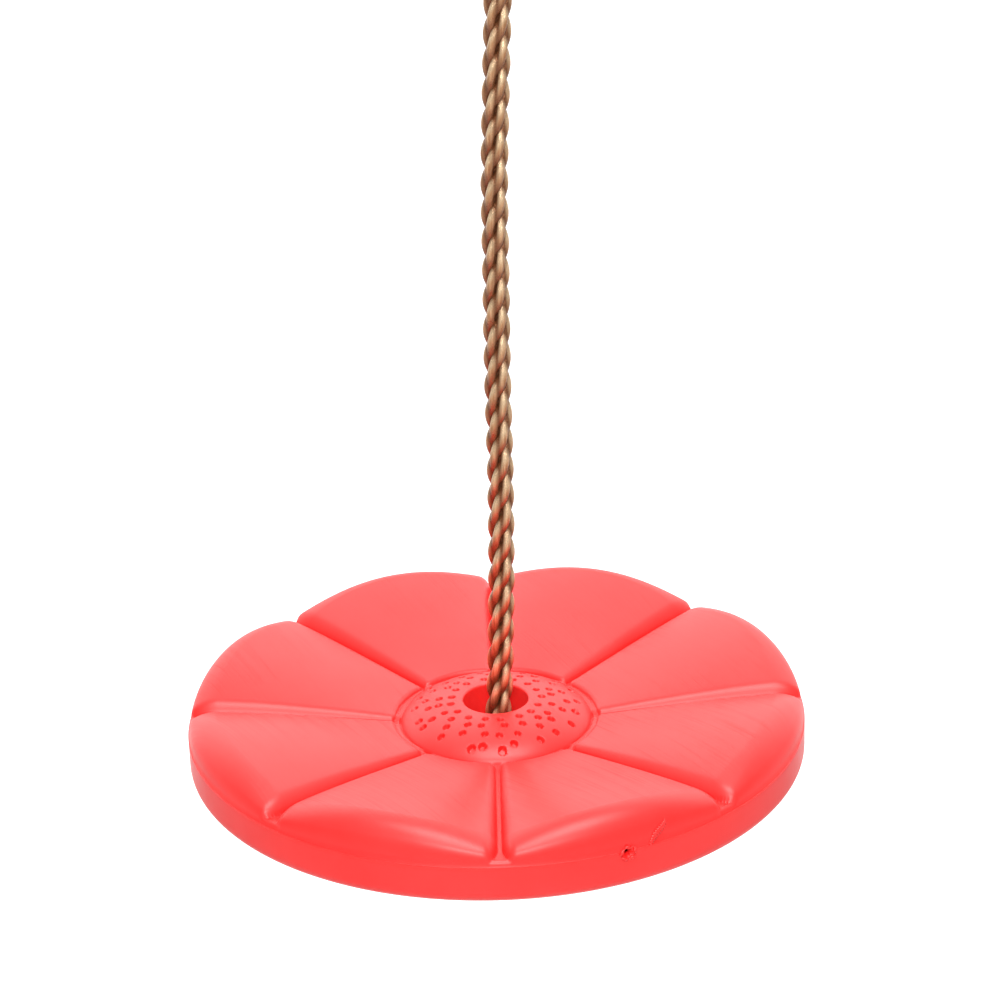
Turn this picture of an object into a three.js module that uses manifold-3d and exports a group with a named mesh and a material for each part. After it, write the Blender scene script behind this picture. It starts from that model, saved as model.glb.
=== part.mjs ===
// Child's flower-shaped disc swing: a hollow blow-moulded seat on one twisted rope, a stopper knot and
// washer below the seat, and a rope eye on a ring and snap hook above it.
// Millimetres, +Z up. The origin is the hanging point: the inside of the snap hook's top bend.

import * as THREE from "three";
import { mergeVertices } from "three/addons/utils/BufferGeometryUtils.js";
import Module from "manifold-3d";

const wasm = await Module();
wasm.setup();

// ---- Driving dimensions ----------------------------------------------------------------------

const GAP = 0.3; // running gap between pieces that touch
const RAD = Math.PI / 180;

// Seat, with its heights measured from its underside.
const SEAT_RADIUS = 140;
const SEAT_THICKNESS = 38;
const SEAT_WALL = 2.4;
const PETALS = 8;
const PARTING_Z = 21.2; // the mould's parting line
const UPPER_RADIUS = 139.6; // the petals stop a step inside the lower half
const HOLE_RADIUS = 15.2;
const HOLE_RIM_Z = 30;
const THROAT_RADIUS = 10;
const THROAT_TOP_Z = 11;
const RECESS_RADIUS = 22.5; // washer pocket under the seat
const RECESS_DEPTH = 3.5;
const BOSS_RADIUS = 34; // flat ring round the pocket
const DOME_RADIUS = 44.3;
const MOAT_Z = 19.6;
const HUB_RADIUS = 46; // where the petals begin
const CREST_RADIUS = 127; // where a petal is highest
const PETAL_INNER_Z = 21.8;
const VAULT_INNER = 0.5; // how far a petal's crown stands above its long edges
const VAULT_OUTER = 9.3;
const GROOVE_HALF = 0.85;
const GROOVE_INNER_Z = 18.7;
const GROOVE_OUTER_Z = 23.8;
const LEDGE_RADIUS = 137.2;
const NEEDLE_RADIUS = 2.1; // blow needle's hole, on the parting line
const NEEDLE_AZIMUTH = -67.25;

// Rope and what it carries.
const ROPE_RADIUS = 6;
const KNOT_RADIUS = 17.5;
const KNOT_HEIGHT = 31;
const TAIL_LENGTH = 17;
const WASHER_RADIUS = 22;
const WASHER_BORE = 7;
const WASHER_THICKNESS = 3;
const LEG_X = 12.5; // the eye's two legs pass the adjuster this far off centre
const ADJUSTER = { halfLength: 25, halfWidth: 12, thickness: 8, bore: 6.6 };
const EYE_RADIUS = 24; // rope centre line round the thimble
const THIMBLE_WALL = 1.8;
const THIMBLE_CLEAR = 0.4;
const EYE_TO_ADJUSTER = 52;
const ADJUSTER_TO_SEAT = 412;
const UPPER_KNOT_RADIUS = 16.5;
const UPPER_KNOT_HEIGHT = 31;

// Ring and snap hook.
const RING_RADIUS = 22;
const RING_WIRE = 3;
const HOOK_WIRE = 4;
const HOOK_BEND = 13;
const HOOK_STRAIGHT = 44;
const GATE_RADIUS = 3.6;
const TONGUE_HALF = 1.5; // half thickness of the hook's flattened ends
const PIVOT_BELOW_BEND = 6;
const GATE_LENGTH = 33; // pivot to the gate's free end
const RIVET_RADIUS = 1.2;

// ---- Heights that follow from them -------------------------------------------------------------

const hookTopCentre = HOOK_WIRE - HOOK_BEND;
const hookBottomCentre = hookTopCentre - HOOK_STRAIGHT;
const hookBarZ = hookBottomCentre - HOOK_BEND;
const ringTopZ = hookBarZ + HOOK_WIRE + GAP + RING_WIRE;
const ringCentreZ = ringTopZ - RING_RADIUS;
const ringBottomZ = ringCentreZ - RING_RADIUS;
const thimbleBore = EYE_RADIUS - ROPE_RADIUS - THIMBLE_CLEAR - THIMBLE_WALL;
const eyeZ = ringBottomZ + RING_WIRE + GAP - thimbleBore;
const adjusterZ = eyeZ - EYE_TO_ADJUSTER;
const seatZ = adjusterZ - ADJUSTER_TO_SEAT;
const washerZ = seatZ + RECESS_DEPTH - GAP - WASHER_THICKNESS;
const knotTopZ = washerZ - GAP;
const upperKnotTopZ = adjusterZ - ADJUSTER.thickness / 2 - GAP;

// ---- Helpers -----------------------------------------------------------------------------------

const clamp01 = (x) => Math.min(1, Math.max(0, x));
const mix = (a, b, t) => a + (b - a) * t;

// A three.js geometry as a manifold solid.
function solid(geometry) {
  const bare = geometry.clone();
  bare.deleteAttribute("normal");
  bare.deleteAttribute("uv");
  const merged = mergeVertices(bare, 1e-4);
  return new wasm.Manifold(
    new wasm.Mesh({
      numProp: 3,
      vertProperties: new Float32Array(merged.attributes.position.array),
      triVerts: new Uint32Array(merged.index.array),
    }),
  );
}

// A manifold solid as a three.js geometry.
function geometryOf(body) {
  const mesh = body.getMesh();
  const geometry = new THREE.BufferGeometry();
  geometry.setAttribute("position", new THREE.BufferAttribute(mesh.vertProperties, 3));
  geometry.setIndex(new THREE.BufferAttribute(mesh.triVerts, 1));
  geometry.computeVertexNormals();
  return geometry;
}

// A profile of [radius, height] pairs turned about +Z.
function lathe(profile, segments) {
  const points = profile.map(([r, z]) => new THREE.Vector2(r, z));
  return new THREE.LatheGeometry(points, segments).rotateX(Math.PI / 2);
}

// A closed profile given anticlockwise, returned to its first point.
const closed = (profile) => [...profile, profile[0]];

// A round section swept along a curve.
function tube(curve, radius, steps, sides) {
  const section = new THREE.Shape();
  for (let i = 0; i < sides; i++) {
    const a = (2 * Math.PI * i) / sides;
    const method = i === 0 ? "moveTo" : "lineTo";
    section[method](radius * Math.cos(a), radius * Math.sin(a));
  }
  section.closePath();
  return new THREE.ExtrudeGeometry(section, { steps, bevelEnabled: false, extrudePath: curve });
}

// A slab with the given outline in XZ, centred on y = 0.
function slabXZ(shape, thickness) {
  const geometry = new THREE.ExtrudeGeometry(shape, {
    depth: thickness,
    bevelEnabled: false,
    curveSegments: 10,
  });
  return geometry.rotateX(Math.PI / 2).translate(0, thickness / 2, 0);
}

const group = new THREE.Group();

function place(name, geometry, material, parent = group) {
  const mesh = new THREE.Mesh(geometry, material);
  mesh.name = name;
  parent.add(mesh);
  return mesh;
}

// ---- Materials -----------------------------------------------------------------------------------

const seatPlastic = new THREE.MeshStandardMaterial({ color: 0xff5a55, roughness: 0.42, metalness: 0 });
const ropeFibre = new THREE.MeshStandardMaterial({ color: 0xb07f45, roughness: 0.55, metalness: 0 });
const zincSteel = new THREE.MeshStandardMaterial({ color: 0xb4b7ba, roughness: 0.3, metalness: 1 });
const blackNylon = new THREE.MeshStandardMaterial({ color: 0x1d1e20, roughness: 0.5, metalness: 0 });

// ---- Seat ----------------------------------------------------------------------------------------

// Height of the dimpled dome round the rope hole.
function domeHeight(r) {
  const s = clamp01((r - HOLE_RADIUS) / (DOME_RADIUS - HOLE_RADIUS));
  return HOLE_RIM_Z - (HOLE_RIM_Z - MOAT_Z) * (1 - (1 - s ** 2.2) ** 0.75);
}

// Height of the seat's petals at radius r and at t from the nearest groove's centre line. The same
// function gives the cavity's ceiling when inset is the wall's thickness.
function petalHeight(r, t, inset = 0) {
  const along = clamp01((r - HUB_RADIUS) / (CREST_RADIUS - HUB_RADIUS));
  const crown = mix(PETAL_INNER_Z, SEAT_THICKNESS, 1.08 * along - 0.08 * along ** 4);
  const offCentre = 1 - clamp01(Math.asin(clamp01(t / r)) / (Math.PI / PETALS));
  const top = crown - mix(VAULT_INNER, VAULT_OUTER, along) * offCentre ** 2 - inset;
  const ledge = UPPER_RADIUS - inset;
  const floorSlope = (r - HUB_RADIUS) / (LEDGE_RADIUS - HUB_RADIUS);
  const groove = mix(GROOVE_INNER_Z, GROOVE_OUTER_Z, floorSlope) - inset;
  const roll = clamp01((r - LEDGE_RADIUS + inset) / (UPPER_RADIUS - LEDGE_RADIUS));
  const floor = mix(PARTING_Z, groove, Math.sqrt(1 - roll * roll));
  const side = 1 - clamp01((t - GROOVE_HALF - inset) / mix(3.5, 6, along));
  const end = 1 - clamp01((ledge - r) / (UPPER_RADIUS - CREST_RADIUS));
  const start = 1 - clamp01((r - HUB_RADIUS - inset) / 2);
  const edge = clamp01(Math.hypot(side, end, start));
  return mix(floor, Math.max(top, floor), Math.sqrt(1 - edge * edge));
}

// Distances from a groove's centre line of the seat's mesh columns, over half a petal. The last two
// are shares of the half petal's width, so that columns stay evenly spread.
const COLUMN_OFFSETS = [0, GROOVE_HALF, 3.4];
const COLUMN_SHARES = [0.52, 1];
const PETAL_COLUMNS = 2 * (COLUMN_OFFSETS.length + COLUMN_SHARES.length - 1);
const COLUMNS = PETALS * PETAL_COLUMNS;

// The azimuth of mesh column i at radius r, and its distance from the nearest groove.
function columnAt(i, r) {
  const petal = Math.floor(i / PETAL_COLUMNS);
  const step = i % PETAL_COLUMNS;
  const k = Math.min(step, PETAL_COLUMNS - step);
  const reach = Math.max(r, HUB_RADIUS);
  const half = Math.PI / PETALS;
  const offset =
    k < COLUMN_OFFSETS.length
      ? Math.asin(COLUMN_OFFSETS[k] / reach)
      : half * COLUMN_SHARES[k - COLUMN_OFFSETS.length];
  const fromGroove = step === k ? offset : 2 * half - offset;
  return { azimuth: -Math.PI / 2 + petal * 2 * half + fromGroove, t: r * Math.sin(offset) };
}

// A solid of the seat's plan: a closed profile of rows, each a radius with a height that is a number
// or a function of radius and of the distance from the nearest groove. The rows are given clockwise.
function petalled(clockwise) {
  const rows = [...clockwise].reverse();
  const profile = rows.map(([r], i) => new THREE.Vector2(r, -i));
  const geometry = new THREE.LatheGeometry([...profile, profile[0]], COLUMNS);
  const position = geometry.attributes.position;
  const count = rows.length + 1;
  for (let v = 0; v < position.count; v++) {
    const [r, height] = rows[(v % count) % rows.length];
    const { azimuth, t } = columnAt(Math.floor(v / count) % COLUMNS, r);
    const z = typeof height === "number" ? height : height(r, t);
    position.setXYZ(v, r * Math.cos(azimuth), r * Math.sin(azimuth), z);
  }
  return geometry;
}

const topRadii = [46.5, 48.4, 66, 88, 110, CREST_RADIUS, 132, 136, 138.6];
const foot = { radius: 115, height: 9.5 };

// Points of the rounded lower edge, from the side to the underside, shrunk by inset.
function lowerEdge(inset, steps) {
  const points = [];
  for (let i = 0; i <= steps; i++) {
    const a = (i / steps) * (Math.PI / 2);
    const across = (SEAT_RADIUS - foot.radius - inset) * Math.cos(a) ** 0.8;
    const down = (foot.height - inset) * Math.sin(a) ** 0.8;
    points.push([foot.radius + across, foot.height - down]);
  }
  return points;
}

function seatBlank() {
  const top = topRadii.map((r) => [r, petalHeight]);
  return petalled([
    [THROAT_RADIUS, RECESS_DEPTH],
    [THROAT_RADIUS, THROAT_TOP_Z],
    [HOLE_RADIUS - 1, THROAT_TOP_Z + 4],
    [HOLE_RADIUS - 0.4, HOLE_RIM_Z - 1],
    [HOLE_RADIUS + 0.4, HOLE_RIM_Z],
    ...[23, 31, 37.5, 42, DOME_RADIUS].map((r) => [r, domeHeight]),
    ...top,
    [UPPER_RADIUS, PARTING_Z],
    [SEAT_RADIUS, PARTING_Z - 0.4],
    ...lowerEdge(0, 4),
    [100, 1.6],
    [BOSS_RADIUS + 3, 1.6],
    [BOSS_RADIUS, 0],
    [RECESS_RADIUS, 0],
    [RECESS_RADIUS, RECESS_DEPTH],
  ]);
}

// The hollow that blowing leaves: a ring round the rope hole's tube.
function seatCavity() {
  const w = SEAT_WALL;
  const ceiling = (r, t) => petalHeight(r, t, w);
  const dome = (r) => domeHeight(r) - w;
  return petalled([
    [RECESS_RADIUS + w, RECESS_DEPTH + w],
    [HOLE_RADIUS + w, THROAT_TOP_Z + 2],
    [HOLE_RADIUS + w, HOLE_RIM_Z - 2.2 * w],
    [30, dome],
    [39, (r) => domeHeight(r) - 1.3 * w],
    [44, GROOVE_INNER_Z - 1.1 * w],
    ...[54, 95, 124, 134].map((r) => [r, ceiling]),
    [UPPER_RADIUS - w - 0.3, PARTING_Z - w],
    [SEAT_RADIUS - w, foot.height],
    ...lowerEdge(w, 2).slice(1),
    [100, 1.6 + w],
    [BOSS_RADIUS + 3, 1.6 + w],
  ]);
}

function seatDisc() {
  const needle = new THREE.CylinderGeometry(NEEDLE_RADIUS, NEEDLE_RADIUS, 4 * SEAT_WALL, 10);
  needle.rotateZ(Math.PI / 2).translate(SEAT_RADIUS, 0, PARTING_Z - 1.2);
  needle.rotateZ(NEEDLE_AZIMUTH * RAD);
  return geometryOf(solid(seatBlank()).subtract(solid(seatCavity())).subtract(solid(needle)));
}

const seat = new THREE.Group();
seat.position.z = seatZ;
group.add(seat);
place("seat_disc", seatDisc(), seatPlastic, seat);

// ---- Washer and knots --------------------------------------------------------------------------

function washer() {
  const r = WASHER_RADIUS;
  const h = WASHER_THICKNESS;
  const profile = [
    [WASHER_BORE, h],
    [WASHER_BORE, 0],
    [r - 0.6, 0],
    [r, 0.6],
    [r, h - 0.6],
    [r - 0.6, h],
  ];
  return lathe(closed(profile), 24);
}

place("knot_washer", washer(), zincSteel).position.z = washerZ;

// The outer shape of a hauled-tight knot that hangs below its own origin.
function knot(radius, height) {
  const share = [0, 0.62, 0.88, 1, 0.97, 0.84, 0.58, 0];
  const depth = [0, 0, 0.13, 0.38, 0.64, 0.86, 1, 1];
  const profile = share.map((s, i) => [s * radius, -depth[i] * height]);
  return lathe(profile.reverse(), 14);
}

function tail(length) {
  const r = ROPE_RADIUS;
  const profile = [
    [0, -length],
    [r - 1.5, -length],
    [r, -length + 1.5],
    [r, 0],
    [0, 0],
  ];
  return lathe(profile, 10);
}

place("stopper_knot", knot(KNOT_RADIUS, KNOT_HEIGHT), ropeFibre).position.z = knotTopZ;
place("rope_tail_lower", tail(TAIL_LENGTH), ropeFibre).position.z = knotTopZ - KNOT_HEIGHT - GAP;

const upperKnot = place("eye_knot", knot(UPPER_KNOT_RADIUS, UPPER_KNOT_HEIGHT), ropeFibre);
upperKnot.position.set(-LEG_X, 0, upperKnotTopZ);
const upperTail = place("rope_tail_upper", tail(TAIL_LENGTH), ropeFibre);
upperTail.position.set(-LEG_X, 0, upperKnotTopZ - UPPER_KNOT_HEIGHT - GAP);

// ---- Rope ----------------------------------------------------------------------------------------

// Route of the rope's centre line as [x, height above the seat's underside], from the stopper knot up
// to the adjuster: a slack lean and a slight wave, towards the eye's off-centre leg.
const RISE = [
  [0, 6],
  [0.5, 15],
  [1.8, 32],
  [3.4, 62],
  [4.7, 98],
  [5.5, 140],
  [5.7, 187],
  [6.4, 234],
  [7.2, 279],
  [8.9, 316],
  [10.8, 353],
  [11.9, 380],
  [12.5, 404],
  [12.5, 412],
  [12.6, 420],
];

// Route round the thimble, from one leg to the other, as points of the eye's own plane.
function eyeRoute() {
  const points = [];
  const leave = 16 * RAD;
  for (let i = 0; i <= 12; i++) {
    const a = mix(-leave, Math.PI + leave, i / 12);
    points.push([EYE_RADIUS * Math.cos(a), eyeZ + EYE_RADIUS * Math.sin(a)]);
  }
  return points;
}

function ropeRoute() {
  const legTop = [17.4, adjusterZ + 27];
  const points = [
    [0, knotTopZ + GAP],
    ...RISE.map(([x, h]) => [x, seatZ + h]),
    legTop,
    ...eyeRoute(),
    [-legTop[0], legTop[1]],
    [-LEG_X - 0.1, adjusterZ + 8],
    [-LEG_X, adjusterZ],
    [-LEG_X, upperKnotTopZ + GAP],
  ];
  return new THREE.CatmullRomCurve3(points.map(([x, z]) => new THREE.Vector3(x, 0, z)));
}

place("rope", tube(ropeRoute(), ROPE_RADIUS, 64, 10), ropeFibre);

// ---- Adjuster and thimble ------------------------------------------------------------------------

// A flat plate with round ends and a bore for each leg of the eye.
function adjuster() {
  const { halfLength, halfWidth, thickness, bore } = ADJUSTER;
  const plate = new THREE.Shape();
  plate.absarc(halfLength - halfWidth, 0, halfWidth, -Math.PI / 2, Math.PI / 2);
  plate.absarc(halfWidth - halfLength, 0, halfWidth, Math.PI / 2, 1.5 * Math.PI);
  plate.closePath();
  for (const x of [-LEG_X, LEG_X]) {
    const hole = new THREE.Path();
    hole.absarc(x, 0, bore, 0, 2 * Math.PI, true);
    plate.holes.push(hole);
  }
  const bevel = 1;
  return new THREE.ExtrudeGeometry(plate, {
    depth: thickness - 2 * bevel,
    bevelThickness: bevel,
    bevelSize: bevel,
    bevelOffset: -bevel,
    bevelSegments: 1,
    curveSegments: 9,
  }).translate(0, 0, bevel - thickness / 2);
}

place("rope_adjuster", adjuster(), blackNylon).position.z = adjusterZ;

// A round thimble: a channel that holds the rope, turned about the eye's axis.
function thimble() {
  const inner = ROPE_RADIUS + THIMBLE_CLEAR;
  const outer = inner + THIMBLE_WALL;
  const arc = (radius, from, to) =>
    Array.from({ length: 7 }, (_, i) => {
      const a = mix(from, to, i / 6) * RAD;
      return [EYE_RADIUS + radius * Math.cos(a), radius * Math.sin(a)];
    });
  const profile = [...arc(outer, 110, 250), ...arc(inner, 250, 110)];
  return lathe(closed(profile), 24).rotateX(Math.PI / 2);
}

place("thimble", thimble(), zincSteel).position.z = eyeZ;

// ---- Ring and snap hook --------------------------------------------------------------------------

const ring = new THREE.TorusGeometry(RING_RADIUS, RING_WIRE, 8, 28);
place("hanging_ring", ring.rotateY(Math.PI / 2), zincSteel).position.z = ringCentreZ;

const pivotZ = hookTopCentre - PIVOT_BELOW_BEND;
const gateEndZ = pivotZ - GATE_LENGTH;

// Centre line of the hook's wire: up the spine and round both bends, open on the gate's side.
function hookPath() {
  const path = new THREE.CurvePath();
  const at = (x, z) => new THREE.Vector3(x, 0, z);
  const line = (a, b) => path.add(new THREE.LineCurve3(a, b));
  const bend = (centreZ, from, to) => {
    const points = Array.from({ length: 17 }, (_, i) => {
      const a = mix(from, to, i / 16) * RAD;
      return at(HOOK_BEND * Math.cos(a), centreZ + HOOK_BEND * Math.sin(a));
    });
    path.add(new THREE.CatmullRomCurve3(points));
  };
  line(at(HOOK_BEND, pivotZ + 4), at(HOOK_BEND, hookTopCentre));
  bend(hookTopCentre, 0, 180);
  line(at(-HOOK_BEND, hookTopCentre), at(-HOOK_BEND, hookBottomCentre));
  bend(hookBottomCentre, 180, 360);
  line(at(HOOK_BEND, hookBottomCentre), at(HOOK_BEND, gateEndZ - 3));
  return path;
}

// A tongue flattened from the wire's end, with a round nose.
function tongue(fromZ, toZ) {
  const r = GATE_RADIUS - 0.6;
  const upward = toZ > fromZ;
  const shape = new THREE.Shape();
  shape.moveTo(-r, fromZ);
  shape.lineTo(r, fromZ);
  shape.absarc(0, toZ, r, 0, upward ? Math.PI : -Math.PI, !upward);
  shape.closePath();
  return slabXZ(shape, 2 * TONGUE_HALF).translate(HOOK_BEND, 0, 0);
}

function acrossCylinder(radius, length, x, z) {
  return new THREE.CylinderGeometry(radius, radius, length, 14).translate(x, 0, z);
}

function hookBody() {
  const wire = solid(tube(hookPath(), HOOK_WIRE, 56, 8));
  const hingeTongue = solid(tongue(pivotZ + 5, pivotZ));
  const noseTongue = solid(tongue(gateEndZ - 4, gateEndZ + 2));
  const bore = solid(acrossCylinder(RIVET_RADIUS + GAP, 20, HOOK_BEND, pivotZ));
  return geometryOf(wire.add(hingeTongue).add(noseTongue).subtract(bore));
}

// The gate: a round bar slotted over both tongues, drilled for its rivet and for its spring.
const SPRING_BORE = 2;
const springTopZ = pivotZ - 6.5;
const springBottomZ = springTopZ - 12;

function gate() {
  const bar = (radius, top, bottom, sides) =>
    new THREE.CylinderGeometry(radius, radius, top - bottom, sides)
      .rotateX(Math.PI / 2)
      .translate(HOOK_BEND, 0, (top + bottom) / 2);
  const slot = (top, bottom) =>
    new THREE.BoxGeometry(20, 2 * (TONGUE_HALF + GAP), top - bottom).translate(
      HOOK_BEND,
      0,
      (top + bottom) / 2,
    );
  const blank = solid(bar(GATE_RADIUS, pivotZ + 3.2, gateEndZ, 16));
  const cuts = [
    slot(pivotZ + 10, pivotZ - GATE_RADIUS - 0.2),
    slot(gateEndZ + 5.6, gateEndZ - 10),
    bar(SPRING_BORE, pivotZ, springBottomZ - GAP, 12),
    acrossCylinder(RIVET_RADIUS + 0.05, 20, HOOK_BEND, pivotZ),
  ];
  return geometryOf(cuts.reduce((body, cut) => body.subtract(solid(cut)), blank));
}

function rivet() {
  const half = GATE_RADIUS + 0.5;
  const r = RIVET_RADIUS - 0.05;
  const profile = [
    [0, -half],
    [r, -half],
    [r, half],
    [0, half],
  ];
  return lathe(profile, 14).rotateX(Math.PI / 2).translate(HOOK_BEND, 0, pivotZ);
}

// The gate's spring: a helix whose wire clears its bore.
function gateSpring() {
  const wire = 0.35;
  const turns = 5;
  const radius = SPRING_BORE - GAP - wire;
  const bottom = springBottomZ + wire;
  const top = springTopZ - wire;
  const points = Array.from({ length: turns * 8 + 1 }, (_, i) => {
    const a = (i / 8) * 2 * Math.PI;
    const z = mix(bottom, top, i / (turns * 8));
    return new THREE.Vector3(HOOK_BEND + radius * Math.cos(a), radius * Math.sin(a), z);
  });
  return tube(new THREE.CatmullRomCurve3(points), wire, turns * 8, 5);
}

// The plunger that the spring presses up against the hinge tongue.
function gatePlunger() {
  const r = SPRING_BORE - GAP;
  const profile = [
    [0, springTopZ + GAP],
    [r, springTopZ + GAP],
    [r, pivotZ - GATE_RADIUS - 0.6],
    [0, pivotZ - GATE_RADIUS + 0.1],
  ];
  return lathe(profile, 12).translate(HOOK_BEND, 0, 0);
}

place("hook_body", hookBody(), zincSteel);
place("hook_gate", gate(), zincSteel);
place("gate_rivet", rivet(), zincSteel);
place("gate_spring", gateSpring(), zincSteel);
place("gate_plunger", gatePlunger(), zincSteel);

export default group;
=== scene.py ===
import math
import bpy
import bmesh
import numpy as np
from mathutils import Matrix, Vector


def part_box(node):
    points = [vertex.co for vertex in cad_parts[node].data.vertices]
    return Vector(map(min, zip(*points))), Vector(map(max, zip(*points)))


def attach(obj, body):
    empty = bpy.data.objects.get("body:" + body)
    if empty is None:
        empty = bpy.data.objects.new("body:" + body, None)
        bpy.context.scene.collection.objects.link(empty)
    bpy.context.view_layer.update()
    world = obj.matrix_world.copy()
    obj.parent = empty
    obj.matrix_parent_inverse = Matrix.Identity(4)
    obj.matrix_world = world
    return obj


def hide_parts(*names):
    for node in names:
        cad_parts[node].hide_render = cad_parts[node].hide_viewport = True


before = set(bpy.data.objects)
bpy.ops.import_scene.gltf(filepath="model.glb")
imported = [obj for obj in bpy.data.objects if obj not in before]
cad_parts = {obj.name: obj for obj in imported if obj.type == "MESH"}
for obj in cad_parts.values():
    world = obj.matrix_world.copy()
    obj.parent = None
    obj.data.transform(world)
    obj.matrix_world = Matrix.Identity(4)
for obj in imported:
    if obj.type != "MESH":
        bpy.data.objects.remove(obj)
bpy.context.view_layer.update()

# A child's flower-shaped disc swing: a hollow blow-moulded seat on one twisted rope, with a stopper knot and
# washer below it and an eye on a ring and snap hook above. Metres, in the CAD frame: +Z up, the hanging
# point at the origin.

MM = 0.001
TAU = 2 * math.pi


# ---- Places taken from the CAD frame -------------------------------------------------------------------

def middle(node):
    """The middle of a CAD node's box."""
    low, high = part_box(node)
    return (low + high) / 2


SEAT_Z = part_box("seat_disc")[0].z  # the seat's underside
KNOT_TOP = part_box("stopper_knot")[1].z
EYE_KNOT_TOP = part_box("eye_knot")[1].z
EYE_KNOT_X = middle("eye_knot").x
WASHER_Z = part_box("knot_washer")[0].z
EYE_Z = middle("thimble").z
ADJUSTER_Z = middle("rope_adjuster").z
RING_Z = middle("hanging_ring").z


# ---- Camera --------------------------------------------------------------------------------------------

CAMERA_PLACE = (0.0052, -1.4089, SEAT_Z + 0.741)
CAMERA_PITCH, CAMERA_ROLL = math.radians(23.52), math.radians(-1.90)
SENSOR, LENS = 36, 124.7  # millimetres


def make_camera():
    """A level camera's axes, pitched down and then rolled a little."""
    pitch, roll = CAMERA_PITCH, CAMERA_ROLL
    forward = Vector((0, math.cos(pitch), -math.sin(pitch)))
    level_up = Vector((0, math.sin(pitch), math.cos(pitch)))
    right = math.cos(roll) * Vector((1, 0, 0)) + math.sin(roll) * level_up
    up = right.cross(forward)
    data = bpy.data.cameras.new("camera")
    data.sensor_width, data.lens = SENSOR, LENS
    data.clip_start, data.clip_end = 0.05, 100
    camera = bpy.data.objects.new("camera", data)
    bpy.context.scene.collection.objects.link(camera)
    turned = Matrix((right, up, -forward)).transposed().to_4x4()
    camera.matrix_world = Matrix.Translation(CAMERA_PLACE) @ turned
    bpy.context.scene.camera = camera


make_camera()


# ---- Shader helpers ------------------------------------------------------------------------------------

class Shader:
    """A material's node tree, built by short calls."""

    def __init__(self, name, **constants):
        self.material = bpy.data.materials.new(name)
        self.material.use_nodes = True
        self.tree = self.material.node_tree
        self.surface = self.tree.nodes["Principled BSDF"]
        for socket, value in constants.items():
            self.surface.inputs[socket.replace("_", " ")].default_value = value

    def node(self, kind, inputs=None, **settings):
        made = self.tree.nodes.new(kind)
        for key, value in settings.items():
            setattr(made, key, value)
        for socket, value in (inputs or {}).items():
            if isinstance(value, bpy.types.NodeSocket):
                self.tree.links.new(value, made.inputs[socket])
            else:
                made.inputs[socket].default_value = value
        return made

    def link(self, output, socket):
        self.tree.links.new(output, self.surface.inputs[socket])

    def position(self, scale=(1, 1, 1), rotation=(0, 0, 0)):
        source = self.node("ShaderNodeTexCoord").outputs["Object"]
        return self.mapped(source, scale, rotation)

    def mapped(self, source, scale=(1, 1, 1), rotation=(0, 0, 0)):
        inputs = {"Vector": source, "Scale": scale, "Rotation": rotation}
        return self.node("ShaderNodeMapping", inputs).outputs["Vector"]

    def attribute(self, name, output="Vector"):
        return self.node("ShaderNodeAttribute", attribute_name=name).outputs[output]

    def noise(self, vector, scale, detail=2.0, roughness=0.5):
        inputs = {"Vector": vector, "Scale": scale, "Detail": detail, "Roughness": roughness}
        return self.node("ShaderNodeTexNoise", inputs).outputs["Fac"]

    def math(self, operation, a, b=0.0):
        return self.node("ShaderNodeMath", {0: a, 1: b}, operation=operation).outputs[0]

    def upward(self):
        """How far the surface faces up, from -1 to 1, in the piece's own frame."""
        normal = self.node("ShaderNodeTexCoord").outputs["Normal"]
        return self.node("ShaderNodeSeparateXYZ", {0: normal}).outputs[2]

    def fit(self, value, low, high, to_low=0.0, to_high=1.0):
        inputs = {"Value": value, "From Min": low, "From Max": high, "To Min": to_low, "To Max": to_high}
        return self.node("ShaderNodeMapRange", inputs).outputs["Result"]

    def mix(self, factor, a, b):
        made = self.node("ShaderNodeMix", data_type="RGBA")
        for index, value in ((0, factor), (6, a), (7, b)):
            if isinstance(value, bpy.types.NodeSocket):
                self.tree.links.new(value, made.inputs[index])
            else:
                made.inputs[index].default_value = value
        return made.outputs[2]

    def bump(self, height, distance, strength=1.0, under=None):
        inputs = {"Height": height, "Distance": distance, "Strength": strength}
        if under is not None:
            inputs["Normal"] = under
        return self.node("ShaderNodeBump", inputs).outputs["Normal"]


# ---- Materials -----------------------------------------------------------------------------------------

def seat_plastic():
    """Blow-moulded polyethylene: satin, with a faint orange peel and fine oblique scratches on the petals."""
    s = Shader(
        "coral_polyethylene", Roughness=0.42, Subsurface_Weight=0.12, Subsurface_Radius=(1.0, 0.25, 0.2),
        Subsurface_Scale=0.002,
    )
    where = s.position()
    cloud = s.noise(where, 26, 3)
    s.link(s.mix(s.fit(cloud, 0.3, 0.7), (0.90, 0.020, 0.018, 1), (0.94, 0.028, 0.026, 1)), "Base Color")
    turned_way = s.position(rotation=(0, 0, math.radians(60)))
    streaks = s.noise(s.mapped(turned_way, (16, 1100, 40)), 1.0, 4, 0.7)
    patches = s.noise(where, 17, 2)
    scratched = s.math("MULTIPLY", s.fit(patches, 0.35, 0.6), s.fit(s.upward(), 0.8, 0.97))
    depth = s.math("MULTIPLY", s.fit(streaks, 0.5, 0.75), scratched)
    s.link(s.math("ADD", s.fit(streaks, 0.3, 0.8, 0.36, 0.44), s.math("MULTIPLY", depth, 0.18)), "Roughness")
    peel = s.bump(s.noise(where, 900, 2), 0.00003, 0.35)
    waves = s.bump(s.noise(where, 60, 2), 0.0002, 0.25, peel)
    s.link(s.bump(depth, -0.00012, 0.8, waves), "Normal")
    return s.material


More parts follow.
